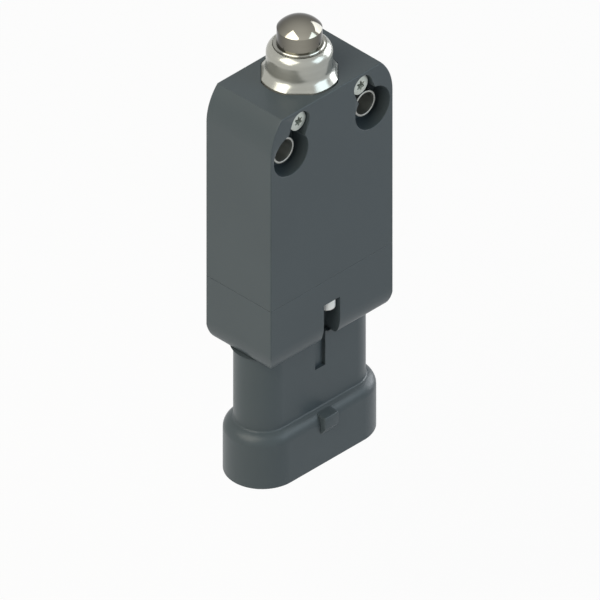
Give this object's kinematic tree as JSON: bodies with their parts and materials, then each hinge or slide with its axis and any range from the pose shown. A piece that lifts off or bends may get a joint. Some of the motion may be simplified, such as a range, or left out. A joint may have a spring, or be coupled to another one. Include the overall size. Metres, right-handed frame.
{
  "type": "plunger limit switch",
  "caption": "Slim limit switch with a metal plunger in a flanged collar, a flat moulded housing with front mounting sleeves and a sealed oval connector below.",
  "frame": {"origin": "centre of the connector's open rim, the part's lowest plane", "axes": "+Z from the connector to the plunger, -Y out of the front with the screw heads, +Y out of the mounting face, +X across the width"},
  "size_m": [0.032, 0.016, 0.0909],
  "materials": {
    "housing_plastic": "satin moulded, fine grain",
    "seal_rubber": "matt",
    "collar_nickel": "bright nickel plated",
    "scraper_steel": "bright",
    "zinc_steel": "zinc plated",
    "screw_zinc": "bright zinc plated",
    "spring_steel": "drawn wire",
    "inner_plastic": "moulded",
    "contact_brass": "stamped strip",
    "lead_cover": "insulated wire",
    "pin_tin": "tin plated",
    "light_guide_white": "milky, diffusing",
    "board_green": "lacquered board",
    "resistor_black": "moulded",
    "plunger_steel": "polished stainless",
    "carriage_plastic": "moulded, natural"
  },
  "bodies": {
    "switch_body": {"housing": "housing_plastic", "connector_cover": "housing_plastic", "cover_gasket": "seal_rubber", "plunger_collar": "collar_nickel", "scraper_ring": "scraper_steel", "rod_seal": "seal_rubber", "seal_washer": "zinc_steel", "mounting_sleeve_left": "zinc_steel", "mounting_sleeve_right": "zinc_steel", "cross_screw_left": "screw_zinc", "cross_screw_right": "screw_zinc", "return_spring": "spring_steel", "block_plate": "inner_plastic", "block_base": "inner_plastic", "nc_contact_left": "contact_brass", "nc_contact_right": "contact_brass", "no_contact_left": "contact_brass", "no_contact_right": "contact_brass", "nc_lead_left": "lead_cover", "nc_lead_right": "lead_cover", "no_lead_left": "lead_cover", "no_lead_right": "lead_cover", "connector_pin_1": "pin_tin", "connector_pin_2": "pin_tin", "connector_pin_3": "pin_tin", "connector_pin_4": "pin_tin", "carriage_spring": "spring_steel", "light_guide": "light_guide_white", "indicator_board": "board_green", "indicator_lamp": "light_guide_white", "series_resistor": "resistor_black"},
    "plunger_set": {"plunger": "plunger_steel", "push_rod": "carriage_plastic", "retaining_ring": "spring_steel"},
    "carriage_set": {"contact_carriage": "carriage_plastic", "nc_bridge": "contact_brass", "no_bridge": "contact_brass", "nc_bridge_spring": "spring_steel", "no_bridge_spring": "spring_steel"}
  },
  "joints": [
    {"name": "plunger_slide", "type": "slide", "parent": "switch_body", "child": "plunger_set", "axis": [0, 0, -1], "range_m": [0, 0.0045], "stiffness_N_per_m": 1000, "springref_m": -0.004, "deforming": ["return_spring"]},
    {"name": "carriage_slide", "type": "slide", "parent": "switch_body", "child": "carriage_set", "axis": [0, 0, -1], "range_m": [0, 0.0045], "stiffness_N_per_m": 100, "springref_m": -0.003, "deforming": ["carriage_spring"]}
  ],
  "couplings": [
    {"joint": "carriage_slide", "follows": "plunger_slide", "ratio": 1}
  ]
}
